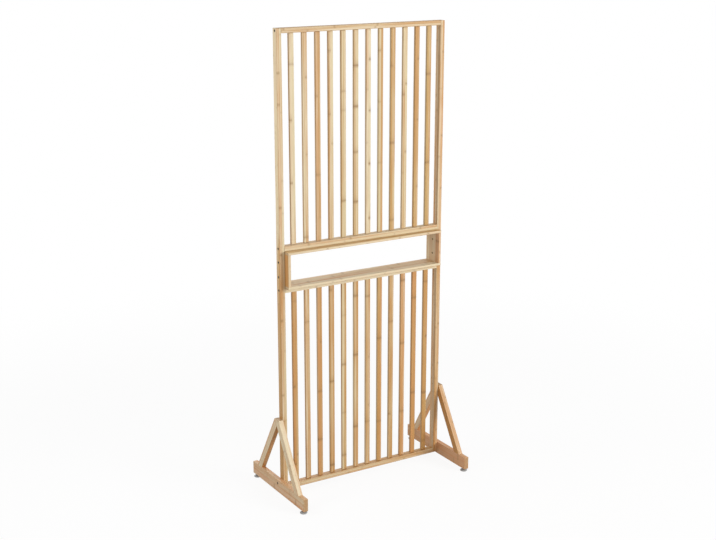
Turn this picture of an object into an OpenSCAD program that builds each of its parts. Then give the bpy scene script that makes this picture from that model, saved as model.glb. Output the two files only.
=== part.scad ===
// Free-standing room divider in laminated bamboo. Two rows of upright slats turn on steel pins
// between four rails, an open storage box sits between the rows, and two braced feet on
// levelling pads carry the posts.
// Sizes are in millimetres. The origin is on the floor under the middle of the divider,
// with +X to the right, +Y to the back and +Z up.

/* [Frame] */
// Width across the two posts
frame_w = 718; // [560:1:900]
// Length of the posts
frame_h = 1760; // [1400:5:2200]
// Width of a post, seen from the front
post_w = 19; // [15:0.5:26]
// Depth of the posts and rails
frame_d = 30; // [25:0.5:40]
// Height of each rail
rail_h = 18; // [15:0.5:24]

/* [Slats] */
// Slats in each row
slat_count = 12; // [4:1:14]
// Width of a slat
slat_w = 20; // [14:0.5:28]
// Thickness of a slat
slat_t = 11; // [9:0.5:16]
// Gap between a slat's end and its rail
slat_end_gap = 1; // [0.5:0.1:2]

/* [Storage box] */
// Depth of the box, front to back
box_d = 86; // [50:1:160]
// Clear height inside the box
box_clear_h = 122; // [80:1:220]
// Thickness of the top board and the shelf board
board_t = 10; // [8.3:0.1:18]
// Thickness of the two side panels
side_t = 11; // [9.1:0.1:18]

/* [Feet] */
// Length of a foot beam, front to back
beam_l = 416; // [300:1:560]
// Height of a foot beam
beam_h = 50; // [40:1:70]
// Thickness of the beams and braces
beam_t = 20; // [16:0.5:28]
// How far the beams reach below the posts
beam_drop = 8; // [0:0.5:12]
// Height of the braces' flat top above the underside of the beam
apex_h = 299; // [200:1:420]
// Length of the flat top where two braces meet
apex_flat = 34; // [26:0.5:42]
// Distance between the outer edges of the braces on the beam
brace_spread = 334; // [240:1:380]
// Width of a brace, square to its length
brace_w = 28; // [23:0.5:34]

/* [Levelling feet] */
// Diameter of a pad
pad_d = 28; // [22:0.5:36]
// Thickness of the pad's round base
pad_base_h = 4.5; // [3:0.5:6]
// Height of the cone on the base
pad_cone_h = 1.5; // [1:0.5:3]
// Height of the steel hexagon between a pad and its beam
collar_h = 6; // [4:0.5:8]
// Size of the hexagon, across its corners
collar_d = 15; // [12:0.5:18]
// Distance from the beam's end to the middle of a pad
pad_inset = 18; // [15:0.5:30]
// Length of stem left in the beam when its pad is screwed right down
stem_grip = 16; // [12:1:20]
// How far a pad can be screwed down
pad_travel = 12; // [8:1:14]

/* [Fittings] */
// Diameter of the steel pivot pins
pin_d = 5; // [4:0.1:6]
// Length of a pin inside its rail
pin_in_rail = 10; // [7:0.5:12]
// Length of a pin inside its slat
pin_in_slat = 9; // [6:0.5:12]
// Spare depth of the upper bore, past the tip of its pin
end_play = 3; // [2:0.5:5]
// Diameter of the frame screws
screw_d = 6.4; // [5:0.1:7.7]
// Length of a frame screw inside its rail
screw_in_rail = 25; // [18:0.5:30]
// Diameter of the machine bolts and of the levelling stems
bolt_d = 6; // [5:0.1:7]
// Diameter of the screw and bolt heads
head_d = 10; // [8.4:0.1:12]
// Depth of the heads below the wood
head_sink = 1; // [0.5:0.1:2]
// Height of the fixing bolt above the underside of the foot beam
beam_bolt_up = 36; // [30:0.5:42]
// Distance between a pair of bolts in a box side
box_bolt_gap = 56; // [30:1:70]
// Outer diameter of the threaded inserts
insert_d = 9; // [8:0.1:10]
// Length of the threaded inserts
insert_l = 9; // [7:0.1:10.8]
// Diameter of the small dowels
dowel_d = 6; // [5:0.1:7.2]
// Diameter of the dowels under the braces
brace_dowel_d = 8; // [6:0.1:10]

/* [Fits] */
// Clearance round a pin or stem that turns or slides
running_gap = 0.05; // [0.02:0.01:0.1]
// Clearance round what is pressed, glued or screwed in
snug_gap = 0.05; // [0.02:0.01:0.15]
// Radius of the eased edges on the bars and of their free ends
edge_r = 2; // [1:0.25:3]

/* [Hidden] */
$fn = 40;

// Levels, from the floor up
pad_top_z = pad_base_h + pad_cone_h;
beam_z = pad_top_z + collar_h;
beam_top_z = beam_z + beam_h;
apex_z = beam_z + apex_h;
frame_z = beam_z + beam_drop;
box_h = box_clear_h + 2 * board_t;
slat_space = (frame_h - 4 * rail_h - box_h) / 2;
lower_space_z = frame_z + rail_h;
lower_middle_z = lower_space_z + slat_space;
shelf_z = lower_middle_z + rail_h;
side_z = shelf_z + board_t;
top_board_z = side_z + box_clear_h;
upper_middle_z = top_board_z + board_t;
upper_space_z = upper_middle_z + rail_h;
top_rail_z = upper_space_z + slat_space;

// Places across the width
inner_w = frame_w - 2 * post_w;
post_x = frame_w / 2 - post_w / 2;
side_x = inner_w / 2 - side_t / 2;
foot_x = frame_w / 2 + beam_t / 2;
pad_y = beam_l / 2 - pad_inset;

// Slats: equal gaps between them and beside the posts
slat_gap = (inner_w - slat_count * slat_w) / (slat_count + 1);
slat_pitch = slat_w + slat_gap;
slat_l = slat_space - 2 * slat_end_gap;
function slat_x(i) = -inner_w / 2 + i * slat_pitch - slat_w / 2;
function gap_x(i) = slat_x(i) + slat_pitch / 2;

// Braces: the outer edge runs from the end of the flat top down to the beam
brace_run = (brace_spread - apex_flat) / 2;
brace_rise = apex_z - beam_top_z;
brace_lean = atan2(brace_run, brace_rise);
brace_l = norm([brace_run, brace_rise]);
brace_foot_l = brace_w / cos(brace_lean);

// Screws and bolts: a countersunk head with a hexagon socket
head_rim = 1;
socket_d = 0.5 * head_d;
socket_depth = 2.2;
screw_tip = 1.5;
chamfer = 0.5;
tip_short = 0.5; // how far a bolt's tip stays inside its insert
bore_spare = 2; // depth of a blind bore past the end of what goes in
box_bolt_l = post_w + side_t - head_sink - tip_short;
foot_bolt_l = beam_t + insert_l - head_sink - tip_short;
rail_screw_l = post_w + screw_in_rail - head_sink;
box_bolt_z = [for (s = [-1, 1]) side_z + box_clear_h / 2 + s * box_bolt_gap / 2];
beam_bolt_z = beam_z + beam_bolt_up;

// Dowels: how deep each one goes into its two pieces, and the wood beside it
dowel_wall = 3;
rail_dowel_y = frame_d / 2 - dowel_d / 2 - dowel_wall;
rail_dowel_in_post = 10;
rail_dowel_in_rail = 18;
board_dowel_in_board = 6.5;
board_dowel_in_rail = 10;
board_dowel_in_side = 16;
rail_dowel_l = rail_dowel_in_rail + rail_dowel_in_post;
board_dowel_l = board_dowel_in_board + board_dowel_in_rail;
corner_dowel_l = board_dowel_in_board + board_dowel_in_side;
board_dowel_gaps = [floor(slat_count / 6), floor(slat_count / 2), slat_count - floor(slat_count / 6)];
side_dowel_inset = 14;
side_dowel_y = box_d / 2 - side_dowel_inset;
apex_dowel_y = frame_d / 2 - dowel_d / 2 - dowel_wall;
apex_dowel_z = apex_z - brace_w / 2;
apex_dowel_in_post = 11;
apex_dowel_in_brace = 14;
apex_dowel_l = apex_dowel_in_post + apex_dowel_in_brace;
brace_dowel_half = 16;
brace_dowel_l = 2 * brace_dowel_half;
brace_dowel_y = brace_spread / 2 - brace_foot_l / 2 - brace_dowel_half / 2 * tan(brace_lean);

// Levelling feet: the stem stands in a socket in its pad
pad_floor = 1.5; // plastic under the stem
pad_edge = 1; // chamfer under the pad
pad_bevel = 1.5; // slope over the pad's rim
stem_l = beam_z - pad_floor + stem_grip + pad_travel;

// Pins: as deep in the rail as in the slat, with the gap between them
pin_l = pin_in_rail + slat_end_gap + pin_in_slat;

bamboo = [0.87, 0.71, 0.48];
bamboo_dark = [0.80, 0.62, 0.39];
steel = [0.75, 0.76, 0.78];
black_steel = [0.12, 0.12, 0.13];
grey_plastic = [0.25, 0.25, 0.26];

rows = ["lower", "upper"];
sides = ["left", "right"];
ends = ["front", "back"];
function sign_of(k) = 2 * k - 1;
function two_digits(i) = i < 10 ? str("0", i) : str(i);
function slat_name(row, i) = str(row, "_slat_", two_digits(i));

// ---- Shapes that repeat ----

// A rectangle with rounded corners, round the origin
module eased(w, h) {
    square([w - 2 * edge_r, h], center = true);
    square([w, h - 2 * edge_r], center = true);
    for (sx = [-1, 1], sy = [-1, 1])
        translate([sx * (w / 2 - edge_r), sy * (h / 2 - edge_r)]) circle(edge_r);
}

// Bars with eased long edges: upright, across the width, and front to back
module bar_z(w, d, l) linear_extrude(l) eased(w, d);
module bar_x(l, d, h) translate([-l / 2, 0, h / 2]) rotate([90, 0, 90]) linear_extrude(l) eased(d, h);
module bar_y(w, l, h) translate([0, l / 2, h / 2]) rotate([90, 0, 0]) linear_extrude(l) eased(w, h);

// A bar whose ends are free, so that their edges are eased too
module free_bar(w, d, h) intersection() {
    bar_z(w, d, h);
    bar_x(w, d, h);
    bar_y(w, d, h);
}

// A round peg with chamfered ends, from z = 0 up
module peg(d, l) rotate_extrude()
    polygon([[0, 0], [d / 2 - chamfer, 0], [d / 2, chamfer],
             [d / 2, l - chamfer], [d / 2 - chamfer, l], [0, l]]);

// The revolved outline of a countersunk screw, from the top of its head down to its tip
module screw_shape(d, l, gap = 0, tip = screw_tip) rotate_extrude() {
    cone = (head_d - d) / 2;
    polygon([[0, 0], [head_d / 2 + gap, 0], [head_d / 2 + gap, -head_rim], [d / 2 + gap, -head_rim - cone],
             [d / 2 + gap, tip - l], [d / 2 + gap - tip / 2, -l], [0, -l]]);
}
module screw(d, l) difference() {
    screw_shape(d, l);
    translate([0, 0, -socket_depth]) cylinder(d = socket_d, h = socket_depth + 1, $fn = 6);
}
// The hole for it: the same outline with clearance, open above the sunk head
module screw_hole(d, l) {
    screw_shape(d, l, snug_gap, 0);
    cylinder(d = head_d + 2 * snug_gap, h = head_sink + 1);
}

// Puts its children at a point on the left or right (side 0 or 1), with +Z pointing outwards
module outwards(side, x, y, z)
    translate([sign_of(side) * x, y, z]) rotate([0, sign_of(side) * 90, 0]) children();
// The same with +Z pointing inwards
module inwards(side, x, y, z)
    translate([sign_of(side) * x, y, z]) rotate([0, -sign_of(side) * 90, 0]) children();
module at_each_slat() for (i = [1:slat_count]) translate([slat_x(i), 0, 0]) children();
module at_board_dowels() for (i = board_dowel_gaps) translate([gap_x(i), 0, 0]) children();

// ---- Fittings, each with the hole that takes it ----

module rail_screw_place(side, z) outwards(side, frame_w / 2 - head_sink, 0, z + rail_h / 2) children();
module rail_dowel_places(side, z)
    for (s = [-1, 1])
        outwards(side, inner_w / 2 - rail_dowel_in_rail, s * rail_dowel_y, z + rail_h / 2) children();
module box_bolt_places(side)
    for (z = box_bolt_z) outwards(side, frame_w / 2 - head_sink, 0, z) children();
module foot_bolt_place(side) outwards(side, frame_w / 2 + beam_t - head_sink, 0, beam_bolt_z) children();
module apex_dowel_places(side)
    for (s = [-1, 1])
        outwards(side, frame_w / 2 - apex_dowel_in_post, s * apex_dowel_y, apex_dowel_z) children();

module dowel_hole(d, l) translate([0, 0, -snug_gap]) cylinder(d = d + 2 * snug_gap, h = l + 2 * snug_gap);
module insert() difference() {
    cylinder(d = insert_d, h = insert_l);
    translate([0, 0, -1]) cylinder(d = bolt_d + 2 * running_gap, h = insert_l + 2);
}
module insert_hole(deeper = 0)
    translate([0, 0, -1]) {
        cylinder(d = insert_d + 2 * snug_gap, h = insert_l + 1);
        cylinder(d = bolt_d + 4 * snug_gap, h = insert_l + 1 + deeper);
    }
// Inserts start at a face and go in along +Z
module box_insert_places(side) for (z = box_bolt_z) outwards(side, inner_w / 2 - side_t, 0, z) children();
module post_insert_place(side) inwards(side, frame_w / 2, 0, beam_bolt_z) children();
module pad_places(side) for (s = [-1, 1]) translate([sign_of(side) * foot_x, s * pad_y, beam_z]) children();

// ---- Frame ----

module post(side) color(bamboo) difference() {
    translate([sign_of(side) * post_x, 0, frame_z]) free_bar(post_w, frame_d, frame_h);
    for (z = [frame_z, lower_middle_z, upper_middle_z, top_rail_z]) {
        rail_screw_place(side, z) screw_hole(screw_d, rail_screw_l + bore_spare);
        rail_dowel_places(side, z) dowel_hole(dowel_d, rail_dowel_l);
    }
    box_bolt_places(side) screw_hole(bolt_d, box_bolt_l);
    post_insert_place(side) insert_hole(bore_spare);
    apex_dowel_places(side) dowel_hole(dowel_d, apex_dowel_l);
}

// A rail with its bottom at z, drilled for pins in its upper or lower face
module rail(z, pins_above, pins_below) color(bamboo) difference() {
    translate([0, 0, z]) bar_x(inner_w, frame_d, rail_h);
    if (pins_above) at_each_slat() translate([0, 0, z + rail_h - pin_in_rail - snug_gap])
        cylinder(d = pin_d + 2 * snug_gap, h = pin_in_rail + 1);
    if (pins_below) at_each_slat() translate([0, 0, z - 1])
        cylinder(d = pin_d + 2 * snug_gap, h = pin_in_rail + 1 + snug_gap);
    for (side = [0, 1]) {
        rail_screw_place(side, z) screw_hole(screw_d, rail_screw_l + bore_spare);
        rail_dowel_places(side, z) dowel_hole(dowel_d, rail_dowel_l);
    }
    if (z == upper_middle_z) upper_board_dowels() dowel_hole(dowel_d, board_dowel_l);
    if (z == lower_middle_z) lower_board_dowels() dowel_hole(dowel_d, board_dowel_l);
}

// ---- Slats and their pins ----

// A slat stands on the tip of its lower pin; the upper bore is deeper than its pin, so nothing binds
module slat(row, i) color(bamboo_dark) {
    z = (row == "upper" ? upper_space_z : lower_space_z) + slat_end_gap;
    bore_d = pin_d + 2 * running_gap;
    translate([slat_x(i), 0, z]) difference() {
        free_bar(slat_w, slat_t, slat_l);
        translate([0, 0, -1]) cylinder(d = bore_d, h = pin_in_slat + 1);
        translate([0, 0, slat_l - pin_in_slat - end_play])
            cylinder(d = bore_d, h = pin_in_slat + end_play + 1);
    }
}

module slat_pivot_pins() color(steel) at_each_slat() {
    for (z = [lower_space_z, upper_space_z]) translate([0, 0, z - pin_in_rail]) peg(pin_d, pin_l);
    for (z = [lower_middle_z, top_rail_z]) translate([0, 0, z + pin_in_rail - pin_l]) peg(pin_d, pin_l);
}

// ---- Storage box ----

// Dowels between a board and the rail it lies against
module upper_board_dowels() at_board_dowels()
    translate([0, 0, upper_middle_z - board_dowel_in_board]) children();
module lower_board_dowels() at_board_dowels()
    translate([0, 0, shelf_z - board_dowel_in_rail]) children();
// Dowels between the boards and the side panels
module corner_dowels()
    for (side = [0, 1], s = [-1, 1])
        for (z = [side_z - board_dowel_in_board, top_board_z - board_dowel_in_side])
            translate([sign_of(side) * side_x, s * side_dowel_y, z]) children();

module box_top_board() color(bamboo) difference() {
    translate([0, 0, top_board_z]) bar_x(inner_w, box_d, board_t);
    upper_board_dowels() dowel_hole(dowel_d, board_dowel_l);
    corner_dowels() dowel_hole(dowel_d, corner_dowel_l);
}
module box_shelf_board() color(bamboo) difference() {
    translate([0, 0, shelf_z]) bar_x(inner_w, box_d, board_t);
    lower_board_dowels() dowel_hole(dowel_d, board_dowel_l);
    corner_dowels() dowel_hole(dowel_d, corner_dowel_l);
}
module box_side_panel(side) color(bamboo) difference() {
    translate([sign_of(side) * side_x, 0, side_z]) bar_z(side_t, box_d, box_clear_h);
    corner_dowels() dowel_hole(dowel_d, corner_dowel_l);
    box_insert_places(side) insert_hole(side_t - insert_l + bore_spare);
}

// ---- Feet ----

module foot_beam(side) color(bamboo) difference() {
    translate([sign_of(side) * foot_x, 0, beam_z]) free_bar(beam_t, beam_l, beam_h);
    foot_bolt_place(side) screw_hole(bolt_d, foot_bolt_l);
    brace_dowel_places(side) dowel_hole(brace_dowel_d, brace_dowel_l);
    pad_places(side) insert_hole(stem_grip + pad_travel - insert_l + bore_spare);
}

// A brace leans in from the beam; the flat top, the foot and the mitre are cut off square
module brace(side, end) color(bamboo_dark) difference() {
    mirror([0, 1 - end, 0]) intersection() {
        translate([sign_of(side) * foot_x, brace_spread / 2, beam_top_z]) rotate([brace_lean, 0, 0])
            translate([0, -brace_w / 2, -brace_w]) bar_z(beam_t, brace_w, brace_l + 2 * brace_w);
        translate([sign_of(side) * foot_x - beam_t / 2, 0, beam_top_z])
            cube([beam_t, brace_spread, brace_rise]);
    }
    brace_dowel_places(side) dowel_hole(brace_dowel_d, brace_dowel_l);
    apex_dowel_places(side) dowel_hole(dowel_d, apex_dowel_l);
}
module brace_dowel_places(side)
    for (s = [-1, 1])
        translate([sign_of(side) * foot_x, s * brace_dowel_y, beam_top_z - brace_dowel_half]) children();

// ---- Levelling feet ----

// A moulded base with a low cone and a socket for the stem
module levelling_pad(side, end) color(grey_plastic)
    translate([sign_of(side) * foot_x, sign_of(end) * pad_y, 0]) difference() {
        rotate_extrude() polygon([[0, 0], [pad_d / 2 - pad_edge, 0], [pad_d / 2, pad_edge],
                                  [pad_d / 2, pad_base_h - pad_bevel], [pad_d / 2 - pad_bevel, pad_base_h],
                                  [collar_d / 2, pad_top_z], [0, pad_top_z]]);
        translate([0, 0, pad_floor]) cylinder(d = bolt_d + 2 * snug_gap, h = pad_top_z);
    }

// A hexagon for a spanner, its corners turned down like a nut's
module collar() intersection() {
    cylinder(d = collar_d, h = collar_h, $fn = 6);
    peg(collar_d, collar_h);
}
// The stem: down into the pad, and up through its insert into the beam
module levelling_stem(side, end) color(steel)
    translate([sign_of(side) * foot_x, sign_of(end) * pad_y, 0]) union() {
        translate([0, 0, pad_floor]) peg(bolt_d, stem_l);
        translate([0, 0, pad_top_z]) collar();
    }

// ---- Screws, bolts, inserts and dowels ----

module frame_screws() color(black_steel) for (side = [0, 1])
    for (z = [frame_z, lower_middle_z, upper_middle_z, top_rail_z])
        rail_screw_place(side, z) screw(screw_d, rail_screw_l);
module box_bolts() color(black_steel) for (side = [0, 1])
    box_bolt_places(side) screw(bolt_d, box_bolt_l);
module foot_bolts() color(black_steel) for (side = [0, 1])
    foot_bolt_place(side) screw(bolt_d, foot_bolt_l);
module threaded_inserts() color(steel) for (side = [0, 1]) {
    box_insert_places(side) insert();
    post_insert_place(side) insert();
    pad_places(side) insert();
}
module rail_end_dowels() color(bamboo) for (side = [0, 1])
    for (z = [frame_z, lower_middle_z, upper_middle_z, top_rail_z])
        rail_dowel_places(side, z) peg(dowel_d, rail_dowel_l);
module box_to_rail_dowels() color(bamboo) {
    upper_board_dowels() peg(dowel_d, board_dowel_l);
    lower_board_dowels() peg(dowel_d, board_dowel_l);
}
module box_corner_dowels() color(bamboo) corner_dowels() peg(dowel_d, corner_dowel_l);
module brace_dowels() color(bamboo) for (side = [0, 1])
    brace_dowel_places(side) peg(brace_dowel_d, brace_dowel_l);
module apex_dowels() color(bamboo) for (side = [0, 1])
    apex_dowel_places(side) peg(dowel_d, apex_dowel_l);

post(0);  // left_post
post(1);  // right_post
rail(top_rail_z, false, true);  // top_rail
rail(upper_middle_z, true, false);  // upper_middle_rail
rail(lower_middle_z, false, true);  // lower_middle_rail
rail(frame_z, true, false);  // bottom_rail
for (row = rows)
    for (i = [1:slat_count])
        slat(row, i);
slat_pivot_pins();
box_top_board();
box_shelf_board();
box_side_panel(0);  // box_left_panel
box_side_panel(1);  // box_right_panel
for (side = [0, 1]) {
    foot_beam(side);
    for (end = [0, 1]) {
        corner = str(sides[side], "_", ends[end]);
        brace(side, end);
        levelling_pad(side, end);
        levelling_stem(side, end);
    }
}
frame_screws();
box_bolts();
foot_bolts();
threaded_inserts();
rail_end_dowels();
box_to_rail_dowels();
box_corner_dowels();
brace_dowels();
apex_dowels();
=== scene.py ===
import bpy, bmesh
from math import atan2, pi, radians
from mathutils import Matrix, Vector


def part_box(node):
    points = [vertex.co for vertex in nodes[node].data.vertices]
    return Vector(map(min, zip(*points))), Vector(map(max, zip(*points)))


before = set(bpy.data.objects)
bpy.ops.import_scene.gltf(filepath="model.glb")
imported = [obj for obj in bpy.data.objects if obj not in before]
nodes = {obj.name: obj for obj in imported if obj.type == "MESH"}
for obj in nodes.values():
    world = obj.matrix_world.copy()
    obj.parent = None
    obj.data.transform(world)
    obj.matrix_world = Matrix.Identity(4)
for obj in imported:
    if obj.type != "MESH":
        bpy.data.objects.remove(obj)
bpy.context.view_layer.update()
print("frame loaded:", len(nodes), "nodes")


class Shade:
    # wraps a shader socket: sums on it add Math nodes, and make() adds any other node

    def __init__(self, tree, socket=None):
        self.tree = tree
        self.socket = socket

    def make(self, kind, settings, inputs, out=0):
        node = self.tree.nodes.new("ShaderNode" + kind)
        for name, value in settings.items():
            setattr(node, name, value)
        for name, value in inputs.items():
            if isinstance(value, Shade):
                self.tree.links.new(value.socket, node.inputs[name])
            else:
                node.inputs[name].default_value = value
        return Shade(self.tree, node.outputs[out])

    def maths(self, operation, first, second=0.0, clamp=False):
        settings = {"operation": operation, "use_clamp": clamp}
        return self.make("Math", settings, {0: first, 1: second})

    def __add__(self, other):
        return self.maths("ADD", self, other)

    def __sub__(self, other):
        return self.maths("SUBTRACT", self, other)

    def __rsub__(self, other):
        return self.maths("SUBTRACT", other, self)

    def __mul__(self, other):
        return self.maths("MULTIPLY", self, other)

    def __truediv__(self, other):
        return self.maths("DIVIDE", self, other)

    __radd__ = __add__
    __rmul__ = __mul__

    def floor(self):
        return self.maths("FLOOR", self)

    def fract(self):
        return self.maths("FRACT", self)

    def size(self):
        return self.maths("ABSOLUTE", self)

    def clamped(self):
        return self.maths("ADD", self, clamp=True)

    def fade(self, low, high):  # 0 at low, 1 at high and smooth between; low may be the larger
        if low > high:
            return 1 - self.fade(high, low)
        limits = {"Value": self, "From Min": low, "From Max": high}
        return self.make("MapRange", {"interpolation_type": "SMOOTHSTEP"}, limits)

    def tint(self, start, end):  # a colour between two, by this value; 6 and 7 are the colour sockets
        return self.make("Mix", {"data_type": "RGBA"}, {0: self, 6: start, 7: end}, 2)

    def random(self):  # one even random number for each value
        return self.make("TexWhiteNoise", {"noise_dimensions": "1D"}, {"W": self})

    def part(self, axis):  # the x, y or z of a place
        return self.make("SeparateXYZ", {}, {"Vector": self}, axis.upper())


def newMaterial(name):
    material = bpy.data.materials.new(name)
    material.use_nodes = True
    tree = material.node_tree
    return material, Shade(tree), tree.nodes["Principled BSDF"]


def plug(shader, **values):  # socket names, with underscores for their spaces
    for name, value in values.items():
        socket = shader.inputs[name.replace("_", " ")]
        if isinstance(value, Shade):
            value.tree.links.new(value.socket, socket)
        else:
            socket.default_value = value


def dress(name, material):
    mesh = nodes[name].data
    mesh.materials.clear()
    mesh.materials.append(material)
    for face in mesh.polygons:
        face.material_index = 0


# laminated bamboo: strips of cane glued side by side in layers
bambooLook = {
    "pale": (0.77, 0.645, 0.435, 1),
    "deep": (0.53, 0.28, 0.09, 1),
    "rosy": (0.68, 0.31, 0.135, 1),
    "olive": (0.58, 0.47, 0.20, 1),
    "oliveFrom": 0.08,          # how far the hue is below 0 where olive sets in
    "roughness": 0.5,
    "roughnessSpread": 0.14,
    "gloss": 0.35,
    "bump": 0.25,
    "bumpHeight": 0.0002,       # metres
    # what each pattern adds to the tone, to the hue and to the bump
    "toneShares": {"fibre": 0.6, "streak": 2.4, "patch": 1.2, "draw": 0.7},
    "hueShares": {"otherDraw": 0.4, "patch": 0.9},
    "bumpShares": {"fibre": 0.5, "fleck": -0.6, "glue": -1.0, "joint": 0.8},
}
grainLook = {
    # waves in a metre of cane, waves in a metre across it, and detail
    "fibre": (8.0, 900.0, 3.0),
    "streak": (1.6, 240.0, 2.0),
    "patch": (4.5, 40.0, 2.0),
    "fleck": (45.0, 2600.0, 1.0),
}
fleckLook = {"from": 0.62, "full": 0.74, "strength": 0.3}
glueLook = {"colour": (0.38, 0.22, 0.09, 1), "half": 0.00022, "strength": 0.45}
endLook = {
    "colour": (0.36, 0.22, 0.10, 1),
    "strength": 0.6,
    "depth": 0.0004,            # metres into the piece
    "topFrom": 0.0006,          # the same on a leaning piece's top, as a fade
    "topFull": 0.0003,
}
jointLook = {
    "colour": (0.30, 0.155, 0.05, 1),
    "internode": 0.24,          # metres of cane between two joints
    "randomness": 0.8,
    "bandHalf": 0.010,          # the soft brown band round a joint
    "coreHalf": 0.001,          # its darkest part
    "tail": 0.035,              # the brown shade above a joint
    # band and line of a scattered joint: the least strength, and what chance adds
    "scattered": {"lineHalf": 0.0024, "wobble": 0.002, "band": (0.12, 0.26), "line": (0.10, 0.35)},
    "placed": {"lineHalf": 0.00256, "wobble": 0.004, "band": 0.55, "tail": 0.30, "line": 0.55},
}
wobbleLook = {"Scale": 120.0, "Detail": 2.0}
shadeSkinLook = {
    "depth": 0.0004,            # metres into the piece, and a little air outside its face
    "outside": 0.001,
    "fadeShare": 0.15,          # share of a stretch over which it fades out, up to a hand's width
    "longestFade": 0.12,
}
crisp = 0.0001                  # half the width of a crisp edge, in metres
stripSeam = 0.0012              # and of the blend between the left and the right strip
countStart = 40                 # keeps the counts of layers and strips above zero

layUps = {
    # axes: the cane runs along the first, the layers lie on each other along the second and the
    # strips side by side along the third; layer and strip are their pitches in metres, a little
    # over an even share, which keeps the glue lines off the faces
    "post": {"axes": "zyx", "layer": 0.0062, "strip": 0.0200},
    "rail": {"axes": "xyz", "layer": 0.0062, "strip": 0.0190},
    "board": {"axes": "xzy", "layer": 0.0050, "strip": 0.0218},
    "panel": {"axes": "zxy", "layer": 0.0060, "strip": 0.0220},
    "beam": {"axes": "yxz", "layer": 0.0052, "strip": 0.0255},
    "slat": {"axes": "zyx", "layer": 0.0055, "strip": 0.0100},
    "brace": {"axes": "zxy", "layer": 0.0052, "strip": 0.0285},
}
grainSeeds = {"frame": (1.37, 2), "upper": (2.17, 0), "lower": (2.17, 50), "brace": (1.9, 3)}  # step, start


def seedOf(group, number):
    step, start = grainSeeds[group]
    return number * step + start


def moved(value, patterns, shares):  # the value, moved by how far each pattern is from its mean
    for pattern, share in shares.items():
        value = value + (patterns[pattern] - 0.5) * share
    return value


def paintedShadeTone(shadeSkin, box, raw, side):  # what a shade skin adds to the tone of its face or stretch: painted shade, and painted light where the tone is below 0
    limits = dict(shadeSkin)
    extra = limits.pop("tone")
    inside = limits.pop("depth", shadeSkinLook["depth"])
    outside = shadeSkinLook["outside"]
    if "face" in limits:
        sign, axis = limits.pop("face")
        low, high = (corner["xyz".index(axis)] for corner in box)
        if sign == "-":
            limits[axis] = (low - outside, low + inside)
        else:
            limits[axis] = (high - inside, high + outside)
    for axis, (low, high) in limits.items():
        level = side if axis == "across" else raw.part(axis)
        soft = min(shadeSkinLook["longestFade"], (high - low) * shadeSkinLook["fadeShare"])
        extra = level.fade(low - soft, low) * level.fade(high + soft, high) * extra
    return extra


def scatteredJoints(shade, run, draw, otherDraw, wobble, seed):  # every strip has its own
    look = jointLook["scattered"]
    place = run / jointLook["internode"] + draw * 93 + seed * 3.7
    cells = {"W": place, "Scale": 1.0, "Randomness": jointLook["randomness"]}
    gap = shade.make("TexVoronoi", {"voronoi_dimensions": "1D"}, cells) * jointLook["internode"]
    least, chance = look["band"]
    band = gap.fade(jointLook["bandHalf"], jointLook["coreHalf"]) * (least + otherDraw * chance)
    least, chance = look["line"]
    line = (gap + wobble * look["wobble"]).fade(look["lineHalf"], 0.0) * (least + otherDraw * chance)
    return band, line


def placedJoint(rise, here):  # rise is the height above the joint, and here is 1 where it shows
    look, core = jointLook["placed"], jointLook["coreHalf"]
    gap = rise.size()
    tail = rise.fade(-core, core) * rise.fade(jointLook["tail"], 0.0)
    band = (gap.fade(jointLook["bandHalf"], core) * look["band"] + tail * look["tail"]) * here
    line = gap.fade(look["lineHalf"], 0.0) * here * look["line"]
    return band, line


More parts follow.
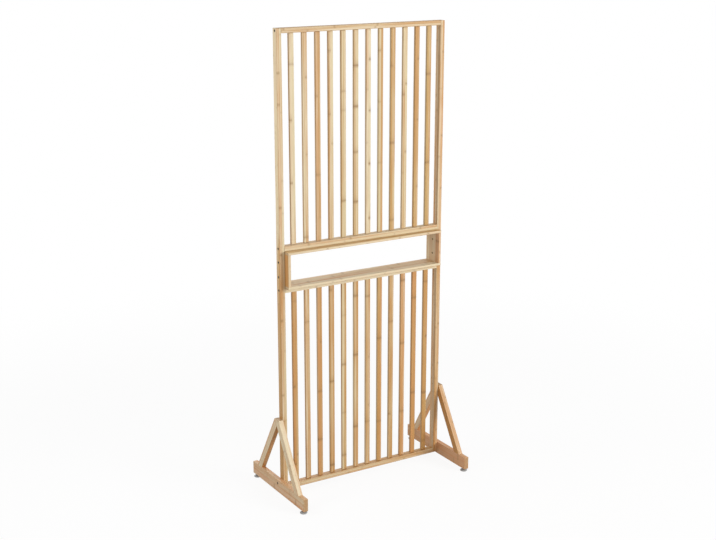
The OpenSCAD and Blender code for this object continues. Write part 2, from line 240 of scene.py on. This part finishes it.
def bamboo(name, layUp, seed, tone, hue, shadeSkins=(), joints=(), turn=0.0):
    material, shade, shader = newMaterial(name + "_cane")
    plan = layUps[layUp]
    along, through, across = plan["axes"]
    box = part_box(name)
    half = {axis: (high - low) / 2 for axis, low, high in zip("xyz", *box)}
    middle = {axis: (low + high) / 2 for axis, low, high in zip("xyz", *box)}

    # distances from the piece's middle along the cane, through the layers and across the strips
    raw = shade.make("TexCoord", {}, {}, "Object")
    centring = {"Vector": raw, "Location": tuple(middle.values()), "Rotation": (turn, 0, 0)}
    centred = shade.make("Mapping", {"vector_type": "TEXTURE"}, centring)
    run = centred.part(along)
    deep = centred.part(through)
    side = centred.part(across)

    layer = deep / plan["layer"] + (countStart + 0.5)
    strip = side / plan["strip"] + countStart

    # two even random numbers for each strip of cane; the factors only keep neighbours and seeds apart
    def drawn(perLayer, perStrip, perSeed, start):
        return (layer.floor() * perLayer + strip.floor() * perStrip + seed * perSeed + start).random()

    draw = drawn(7.31, 3.17, 11.7, 0)
    otherDraw = drawn(5.13, 9.71, 4.3, 71)
    wobble = shade.make("TexNoise", {}, {"Vector": centred, **wobbleLook}) - 0.5

    # joints: scattered, apart from those given by height for the strips in front
    band, line = scatteredJoints(shade, run, draw, otherDraw, wobble, seed)
    if joints:
        behind = (deep + half[through] - plan["layer"]).fade(-crisp, crisp)
        band = band * behind
        line = line * behind
        for height, hand, strength in joints:
            rise = run - (height - middle[along]) + wobble * jointLook["placed"]["wobble"]
            here = (1 - behind) * strength
            if hand:
                here = here * (side * hand).fade(-stripSeam, stripSeam)
            moreBand, moreLine = placedJoint(rise, here)
            band = band + moreBand
            line = line + moreLine
    band = band.clamped()
    line = line.clamped()

    # fibres, streaks and flecks run with the cane, shifted by the strip's numbers so that no two match
    def grain(kind, shift):
        lengthwise, crosswise, detail = grainLook[kind]
        place = shade.make("CombineXYZ", {}, {0: run * lengthwise, 1: deep * crosswise, 2: side * crosswise})
        noise = {"Vector": place, "W": shift, "Scale": 1.0, "Detail": detail}
        return shade.make("TexNoise", {"noise_dimensions": "4D"}, noise)

    fibre = grain("fibre", draw * 50)
    patterns = {
        "fibre": fibre,
        "streak": grain("streak", otherDraw * 40),
        "patch": grain("patch", otherDraw * 60 + seed),
        "draw": draw,
        "otherDraw": otherDraw,
    }
    fleck = grain("fleck", draw * 20).fade(fleckLook["from"], fleckLook["full"])

    # glue lines between layers and between strips, and the darker cut ends
    glue = 0.0
    for count, pitch in ((layer, plan["layer"]), (strip, plan["strip"])):
        glue = glue + (count.fract() - 0.5).size().fade(0.5 - glueLook["half"] / pitch, 0.5)
    glue = glue.clamped()
    if turn:                    # a leaning piece shows only the flat cut on its top
        top = box[1][2]
        cutEnd = raw.part("z").fade(top - endLook["topFrom"], top - endLook["topFull"])
    else:
        cutEnd = (run.size() - (half[along] - endLook["depth"])).fade(-crisp, crisp)

    # painted shade and painted light from the shade skins
    for shadeSkin in shadeSkins:
        tone = tone + paintedShadeTone(shadeSkin, box, raw, side)
    depth = moved(tone, patterns, bambooLook["toneShares"])
    warmth = moved(hue, patterns, bambooLook["hueShares"])
    colour = depth.clamped().tint(bambooLook["pale"], bambooLook["deep"])
    colour = warmth.clamped().tint(colour, bambooLook["rosy"])
    colour = (-bambooLook["oliveFrom"] - warmth).clamped().tint(colour, bambooLook["olive"])
    colour = (fleck * fleckLook["strength"]).tint(colour, glueLook["colour"])
    colour = (glue * glueLook["strength"]).tint(colour, glueLook["colour"])
    colour = band.tint(colour, jointLook["colour"])
    colour = line.tint(colour, jointLook["colour"])
    colour = (cutEnd * endLook["strength"]).tint(colour, endLook["colour"])

    share = bambooLook["bumpShares"]
    height = fibre * share["fibre"] + fleck * share["fleck"] + glue * share["glue"] + line * share["joint"]
    bump = {"Strength": bambooLook["bump"], "Distance": bambooLook["bumpHeight"], "Height": height}
    roughness = bambooLook["roughness"] + (fibre - 0.5) * bambooLook["roughnessSpread"]
    plug(shader, Base_Color=colour, Roughness=roughness, Normal=shade.make("Bump", {}, bump),
         Specular_IOR_Level=bambooLook["gloss"])
    return material


# tone goes from pale at 0 to deep at 1, and hue from olive below 0 to rosy above it
# a shade skin adds its tone as painted shade (painted light where the tone is below 0) to one face (-x is
# the left one), or to one stretch of the piece in metres, and needs a depth only where it reaches deeper
# than the others
pieceLooks = {
    # left post: painted shade, darker towards the bottom and on its left face below 0.95 m
    "left_post": {"layUp": "post", "tone": 0.15, "hue": -0.05, "shadeSkins": [
        {"z": (0.0, 0.84), "tone": 0.35},
        {"z": (0.0, 0.30), "tone": 0.15},
        {"face": "-x", "z": (0.0, 0.95), "tone": 0.7},
    ]},
    # right post: painted light on its inner face, and on its front from 0.972 to 1.42 m
    "right_post": {"layUp": "post", "tone": 0.90, "hue": 0.10, "shadeSkins": [
        {"face": "-x", "tone": -0.30},
        {"face": "-y", "z": (0.972, 1.42), "tone": -0.45},
    ]},
    # rails, top board and shelf: painted shade on their tops, and more on the shelf top's back half
    "top_rail": {"layUp": "rail", "tone": 0.40, "hue": -0.10, "shadeSkins": [{"face": "+z", "tone": 0.45}]},
    "upper_middle_rail": {"layUp": "rail", "tone": 0.16, "hue": 0.0, "shadeSkins": [{"face": "+z", "tone": 0.2}]},
    "lower_middle_rail": {"layUp": "rail", "tone": 0.10, "hue": 0.0},
    "bottom_rail": {"layUp": "rail", "tone": 0.95, "hue": 0.05},
    "box_top_board": {"layUp": "board", "tone": 0.10, "hue": 0.0, "shadeSkins": [{"face": "+z", "tone": 0.5}]},
    "box_shelf_board": {"layUp": "board", "tone": -0.20, "hue": 0.08, "shadeSkins": [
        {"face": "+z", "tone": 0.2},
        {"face": "+z", "y": (0.0, 0.05), "tone": 0.2},
    ]},
    # left panel: painted shadow on its outer face, in the nook beside the post
    "box_left_panel": {"layUp": "panel", "tone": 0.0, "hue": 0.10, "shadeSkins": [{"face": "-x", "tone": 1.6}]},
    # right panel: painted light on its inner face
    "box_right_panel": {"layUp": "panel", "tone": 0.50, "hue": 0.30, "shadeSkins": [
        {"face": "-x", "tone": -0.35},
    ]},
    "left_foot_beam": {"layUp": "beam", "tone": 0.42, "hue": 0.40},
    "right_foot_beam": {"layUp": "beam", "tone": 0.50, "hue": 0.65},
}
for number, (name, look) in enumerate(pieceLooks.items()):
    dress(name, bamboo(name, seed=seedOf("frame", number), **look))

slatLooks = {
    # from the left, each slat's tone, its hue, the painted shade on its left face (painted light below 0)
    # and the joints in front: height, left strip -1, right strip 1 or both 0, strength
    "upper": [
        (0.3, -0.1, 0.2, [(1.65, 0, 0.4), (1.45, -1, 0.6), (1.22, -1, 0.6)]),
        (0.1, 0.0, 0.2, [(1.60, 1, 0.5), (1.32, 1, 0.3), (1.01, 0, 0.5)]),
        (0.6, 0.0, 0.2, [(1.53, -1, 0.4), (1.24, 0, 0.4), (1.08, 1, 0.2)]),
        (0.2, -0.1, 1.0, [(1.69, -1, 0.4), (1.46, -1, 0.4), (1.35, 1, 0.3)]),
        (0.2, -0.2, 1.0, [(1.54, 0, 0.4), (1.47, 0, 0.3), (1.13, 0, 0.7)]),
        (0.3, -0.2, 0.4, [(1.63, 0, 0.9), (1.48, 0, 0.9), (1.31, 0, 0.6), (1.12, 0, 0.8)]),
        (0.0, 0.0, 0.4, [(1.65, 1, 0.8), (1.46, 1, 0.7), (1.26, 1, 1.0), (1.05, 1, 0.8),
                         (1.54, -1, 0.2), (1.34, -1, 0.2)]),
        (0.5, -0.2, -0.2, [(1.68, -1, 0.5), (1.49, -1, 0.3), (1.26, 0, 0.2)]),
        (0.6, -0.2, -0.4, [(1.62, -1, 0.5), (1.33, 0, 0.7), (1.03, 0, 0.5)]),
        (0.6, -0.2, -0.2, [(1.55, 1, 0.6), (1.51, -1, 0.5), (1.29, 1, 0.5), (1.21, -1, 0.2)]),
        (1.0, -0.1, -0.2, [(1.64, 1, 0.6), (1.41, 1, 0.6), (1.15, 1, 0.5)]),
        (1.0, -0.2, -0.6, [(1.58, 0, 0.7), (1.24, 0, 0.7)]),
    ],
    "lower": [
        (1.1, 0.1, -0.2, [(0.77, 0, 0.3), (0.43, -1, 0.8), (0.15, 1, 0.5), (0.11, -1, 0.9)]),
        (0.8, 0.0, 0.2, [(0.68, 0, 0.4), (0.25, 1, 0.2)]),
        (1.1, 0.2, -0.8, [(0.59, 1, 0.5), (0.39, 0, 0.6), (0.19, 0, 0.7)]),
        (0.8, -0.1, 0.2, [(0.79, -1, 0.6), (0.42, 0, 0.8), (0.07, 0, 1.0)]),
        (0.5, -0.1, 0.2, [(0.68, 0, 0.2), (0.48, 0, 0.6), (0.28, 0, 0.3), (0.10, 0, 0.6)]),
        (0.7, -0.1, -0.6, [(0.75, 0, 0.7), (0.51, 0, 0.8), (0.21, 0, 0.8)]),
        (0.4, 0.0, -0.4, [(0.74, 0, 0.6), (0.49, 1, 0.4), (0.29, 1, 0.4), (0.22, 0, 0.4)]),
        (1.1, 0.0, -0.8, [(0.56, 0, 0.7), (0.21, 0, 0.5)]),
        (1.1, -0.1, -0.8, [(0.62, 0, 0.5), (0.23, -1, 0.6)]),
        (0.9, 0.1, 0.0, [(0.78, 0, 0.8), (0.52, 0, 0.6), (0.23, 0, 0.6)]),
        (1.1, 0.1, 1.0, [(0.70, 0, 0.7), (0.30, 0, 0.7)]),
        (1.1, 0.0, -0.4, [(0.76, 0, 0.5), (0.53, 1, 0.9), (0.29, 0, 1.0), (0.08, 0, 0.5)]),
    ],
}
for row, looks in slatLooks.items():
    for number, (tone, hue, leftFaceShade, joints) in enumerate(looks, 1):
        name = f"{row}_slat_{number:02d}"
        shadeSkins = [{"face": "-x", "tone": leftFaceShade}]
        dress(name, bamboo(name, "slat", seedOf(row, number), tone, hue, shadeSkins, joints))

braceSlope = {"run": 0.150, "rise": 0.249}
shadedUnderside = (-0.022, -0.0203)       # painted shade on a back brace's underside: its place across the strips from the middle of its box
# painted shade on the braces: their left faces, the left ones' flat tops and the back ones' undersides,
# darkest on the right front brace's left face in the slats' shadow
braceLooks = {
    "left_front_brace": {"tone": -0.05, "hue": 0.16, "shadeSkins": [
        {"face": "-x", "tone": 0.2},
        {"face": "+z", "tone": 0.4},
    ]},
    "left_back_brace": {"tone": 0.10, "hue": 0.22, "shadeSkins": [
        {"across": shadedUnderside, "tone": 1.2},
        {"face": "-x", "tone": 0.2},
        {"face": "+z", "tone": 0.4},
    ]},
    "right_front_brace": {"tone": 0.55, "hue": 0.25, "shadeSkins": [
        {"face": "-x", "depth": 0.0014, "tone": 0.9},
    ]},
    "right_back_brace": {"tone": 0.45, "hue": 0.40, "shadeSkins": [{"across": shadedUnderside, "tone": 0.6}]},
}
for number, (name, look) in enumerate(braceLooks.items()):
    lean = atan2(braceSlope["run"], braceSlope["rise"])
    if "front" in name:
        lean = -lean
    dress(name, bamboo(name, "brace", seedOf("brace", number), turn=lean, **look))
print("bamboo laid on")


# the fittings' finishes; their pieces are found by the last word of their names
fittingLooks = {
    "dowel_beech": {"pieces": ["dowels"], "colour": (0.78, 0.60, 0.40, 1),
                    "roughness": 0.6, "metallic": 0.0, "specks": 700.0},
    "plated_steel": {"pieces": ["pins"], "colour": (0.62, 0.62, 0.64, 1),
                     "roughness": 0.32, "metallic": 1.0, "specks": 900.0},
    "yellow_plated_steel": {"pieces": ["inserts"], "colour": (0.42, 0.28, 0.12, 1),
                            "roughness": 0.42, "metallic": 1.0, "specks": 900.0},
    "black_steel": {"pieces": ["screws", "bolts"], "colour": (0.03, 0.03, 0.033, 1),
                    "roughness": 0.45, "metallic": 0.6, "specks": 1500.0},
    "pad_plastic": {"pieces": ["pad"], "colour": (0.44, 0.44, 0.43, 1),
                    "roughness": 0.5, "metallic": 0.0, "specks": 2500.0},
}
speckLook = {"detail": 3.0, "roughnessSpread": 0.15, "darker": 0.75, "bump": 0.3, "bumpHeight": 0.00005}


def specks(shade, place, perMetre):
    return shade.make("TexNoise", {}, {"Vector": place, "Scale": perMetre, "Detail": speckLook["detail"]})


def darkened(colour, share):
    return tuple(channel * share for channel in colour[:3]) + (1,)


def plain(finish, look):
    material, shade, shader = newMaterial(finish)
    speck = specks(shade, shade.make("TexCoord", {}, {}, "Object"), look["specks"])
    bump = {"Strength": speckLook["bump"], "Distance": speckLook["bumpHeight"], "Height": speck}
    plug(shader, Base_Color=speck.tint(darkened(look["colour"], speckLook["darker"]), look["colour"]),
         Roughness=look["roughness"] + (speck - 0.5) * speckLook["roughnessSpread"],
         Metallic=look["metallic"], Normal=shade.make("Bump", {}, bump))
    return material


for finish, look in fittingLooks.items():
    material = plain(finish, look)
    for name in nodes:
        if name.split("_")[-1] in look["pieces"]:
            dress(name, material)

stemLook = {
    "colour": (0.14, 0.14, 0.145, 1),
    "darker": 0.8,
    "roughness": 0.34,
    "specks": 900.0,
    "pitch": 0.001,             # of the thread, in metres
    "radius": 0.0031,           # just over the round stem's: the hexagon outside it has no thread
    "edge": 0.0002,
    "bump": 0.8,
    "threadHeight": 0.0004,
}


def threadedSteel(name, look):
    material, shade, shader = newMaterial(name + "_steel")
    low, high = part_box(name)
    centring = {
        "Vector": shade.make("TexCoord", {}, {}, "Object"),
        "Location": ((low[0] + high[0]) / 2, (low[1] + high[1]) / 2, 0),
    }
    centred = shade.make("Mapping", {"vector_type": "TEXTURE"}, centring)
    x, y, z = (centred.part(axis) for axis in "xyz")
    turns = shade.maths("ARCTAN2", y, x) / (2 * pi)
    ridge = ((z / look["pitch"] + turns).fract() - 0.5).size()
    radius = shade.maths("SQRT", x * x + y * y)
    onStem = radius.fade(look["radius"] + look["edge"], look["radius"])
    speck = specks(shade, centred, look["specks"])
    bump = {"Strength": look["bump"], "Distance": look["threadHeight"], "Height": ridge * onStem}
    plug(shader, Base_Color=speck.tint(darkened(look["colour"], look["darker"]), look["colour"]),
         Roughness=look["roughness"] + (speck - 0.5) * speckLook["roughnessSpread"],
         Metallic=1.0, Normal=shade.make("Bump", {}, bump))
    return material


for name in nodes:
    if name.endswith("stem"):
        dress(name, threadedSteel(name, stemLook))
print("fittings finished")


white = (1, 1, 1, 1)
studio = {
    "floorColour": (0.60, 0.60, 0.60, 1),       # what the floor throws back at the object
    "floorGlow": 0.90,          # share of plain white that the camera sees on the floor near the object
    "glowFrom": 1.2,            # metres from the middle of the floor where it starts to grow
    "glowFull": 3.0,            # and where the floor is all white
    "floorHalf": 30,
    "floorRoughness": 0.9,
    "roomLight": 0.50,
    "lamps": {                  # power, size, place, aim
        "key": (218.0, 2.2, (3.0, -5.0, 2.3), (0.0, 0.0, 0.9)),
        "rim": (8.0, 0.6, (-1.6, 0.3, 1.6), (-0.1, 0.0, 0.9)),
        "fill": (12.5, 1.6, (-3.2, -2.2, 1.2), (0.0, 0.0, 0.8)),
        "back": (60.0, 1.4, (1.8, 5.0, 0.7), (0.0, 0.0, 0.9)),
    },
}


def seenByCamera(shade):  # 1 where the camera looks, also through glass and in a reflection
    seen = 0.0
    for ray in ("Is Camera Ray", "Is Glossy Ray", "Is Transmission Ray"):
        seen = seen + shade.make("LightPath", {}, {}, ray)
    return seen.clamped()


def floorMaterial():
    material, shade, shader = newMaterial("pale_floor")
    seen = seenByCamera(shade)
    plug(shader, Base_Color=seen.tint(studio["floorColour"], white),
         Roughness=studio["floorRoughness"], Specular_IOR_Level=0.0)
    reach = shade.make("VectorMath", {"operation": "LENGTH"},
                       {0: shade.make("TexCoord", {}, {}, "Object")}, "Value")
    far = reach.fade(studio["glowFrom"], studio["glowFull"])
    glow = shade.make("Emission", {}, {"Color": white, "Strength": 1.0})
    share = seen * (studio["floorGlow"] + far * (1 - studio["floorGlow"]))
    lit = Shade(material.node_tree, shader.outputs[0])
    surface = shade.make("MixShader", {}, {0: share, 1: lit, 2: glow})
    output = material.node_tree.nodes["Material Output"]
    material.node_tree.links.new(surface.socket, output.inputs["Surface"])
    return material


mesh = bpy.data.meshes.new("floor")
form = bmesh.new()
bmesh.ops.create_grid(form, x_segments=1, y_segments=1, size=studio["floorHalf"])
form.to_mesh(mesh)
form.free()
mesh.materials.append(floorMaterial())
floor = bpy.data.objects.new("floor", mesh)
bpy.context.collection.objects.link(floor)

world = bpy.data.worlds.new("studio")
world.use_nodes = True
bpy.context.scene.world = world
room = world.node_tree.nodes["Background"]
strength = studio["roomLight"] + seenByCamera(Shade(world.node_tree)) * (1 - studio["roomLight"])
plug(room, Color=white, Strength=strength)


def softbox(name, power, size, place, aim):
    lamp = bpy.data.lights.new(name, "AREA")
    lamp.energy = power
    lamp.shape = "SQUARE"
    lamp.size = size
    holder = bpy.data.objects.new(name, lamp)
    holder.location = place
    holder.rotation_mode = "QUATERNION"
    holder.rotation_quaternion = (Vector(aim) - Vector(place)).to_track_quat("-Z", "Y")
    bpy.context.collection.objects.link(holder)


for name, (power, size, place, aim) in studio["lamps"].items():
    softbox(name, power, size, place, aim)
print("studio lit")

view = {
    "place": (-2.449, -4.010, 2.154),
    "yaw": 31.25,               # degrees to the right of straight ahead
    "pitch": 15.53,             # degrees downwards
    "roll": 0.03,
    "lens": 63.8,               # mm, on a sensor 36 mm wide
    "sensor": 36,
    "reach": (0.05, 100),
}
camera = bpy.data.cameras.new("camera")
camera.sensor_width = view["sensor"]
camera.lens = view["lens"]
camera.clip_start, camera.clip_end = view["reach"]
yaw = Matrix.Rotation(radians(-view["yaw"]), 4, "Z")
pitch = Matrix.Rotation(radians(90 - view["pitch"]), 4, "X")
roll = Matrix.Rotation(radians(view["roll"]), 4, "Z")
eye = bpy.data.objects.new("camera", camera)
eye.matrix_world = Matrix.Translation(view["place"]) @ yaw @ pitch @ roll
bpy.context.collection.objects.link(eye)
bpy.context.scene.camera = eye
bpy.context.scene.view_settings.view_transform = "Standard"
print("camera placed")
